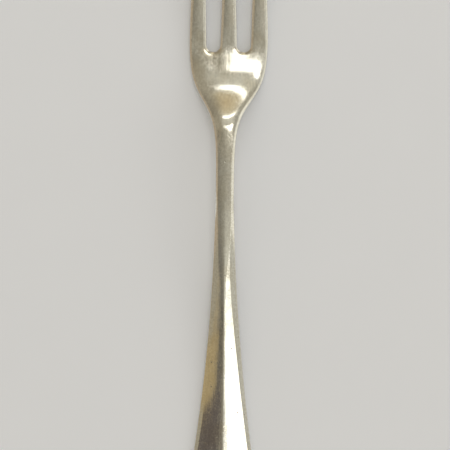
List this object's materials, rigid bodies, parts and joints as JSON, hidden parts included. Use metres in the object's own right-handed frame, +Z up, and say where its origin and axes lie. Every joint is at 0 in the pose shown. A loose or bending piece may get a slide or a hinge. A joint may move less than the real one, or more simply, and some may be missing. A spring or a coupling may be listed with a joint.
{
  "type": "cocktail fork",
  "caption": "Slim cocktail fork in worn silver, with tapered tines over a shallow bowl, a narrow bevelled stem and a flaring, ridged handle that ends in a round.",
  "frame": {"origin": "under the middle of the fork's length and width, on the surface it lies on", "axes": "+Y along the fork towards the tine tips, +X to the right seen from the front, +Z up out of the front"},
  "size_m": [0.0172, 0.141, 0.0079],
  "materials": {
    "silver": "worn satin silver, polished by use on the handle"
  },
  "bodies": {
    "root": {"left_tine": "silver", "centre_tine": "silver", "right_tine": "silver", "bowl": "silver", "neck": "silver", "stem": "silver", "handle": "silver", "handle_end": "silver"}
  },
  "joints": []
}
